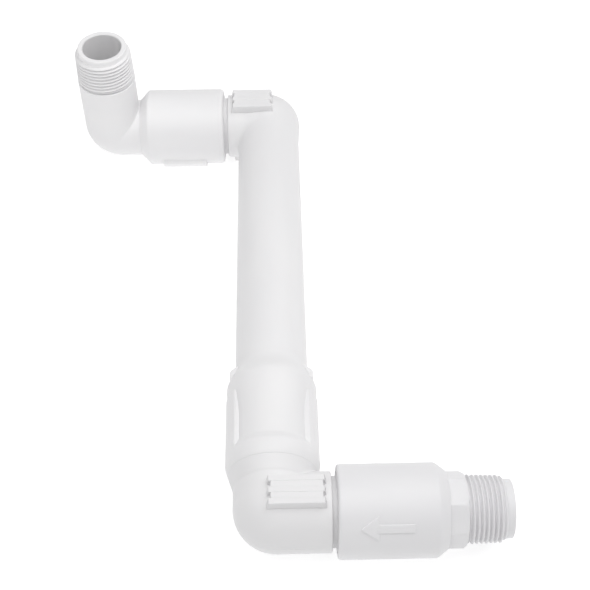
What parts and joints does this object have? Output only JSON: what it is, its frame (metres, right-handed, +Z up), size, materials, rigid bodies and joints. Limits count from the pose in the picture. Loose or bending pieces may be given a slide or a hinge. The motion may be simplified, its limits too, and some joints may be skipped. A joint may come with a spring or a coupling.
{
  "type": "irrigation swing joint",
  "caption": "White plastic irrigation swing joint with three swivelling elbows, a long arm and male pipe threads at both ends.",
  "frame": {"origin": "centre of the inlet pipe end, where the male inlet thread starts", "axes": "+X out of the inlet along its thread; +Y along the arm from the base elbow to the top elbow; +Z up the outlet leg, away from the surface the part lies on"},
  "size_m": [0.183, 0.2546, 0.0702],
  "materials": {
    "white_pvc": "satin moulded white PVC with faint flow marks and slightly softened edges",
    "ring_rubber": "smooth black nitrile rubber"
  },
  "bodies": {
    "inlet": {"inlet_adapter": "white_pvc"},
    "base": {"base_elbow": "white_pvc", "inlet_wiper_ring": "ring_rubber", "inlet_seal_ring": "ring_rubber", "base_wiper_ring": "ring_rubber", "base_seal_ring": "ring_rubber"},
    "arm": {"swing_arm": "white_pvc", "outlet_wiper_ring": "ring_rubber", "outlet_seal_ring": "ring_rubber"},
    "outlet": {"outlet_elbow": "white_pvc"}
  },
  "joints": [
    {"name": "inlet_swivel", "type": "hinge", "parent": "inlet", "child": "base", "pos_m": [-0.0677, 0, 0], "axis": [1, 0, 0], "continuous": true},
    {"name": "base_swivel", "type": "hinge", "parent": "base", "child": "arm", "pos_m": [-0.0922, 0.0165, 0], "axis": [0, 1, 0], "continuous": true},
    {"name": "outlet_swivel", "type": "hinge", "parent": "arm", "child": "outlet", "pos_m": [-0.1142, 0.218, 0], "axis": [1, 0, 0], "continuous": true}
  ]
}
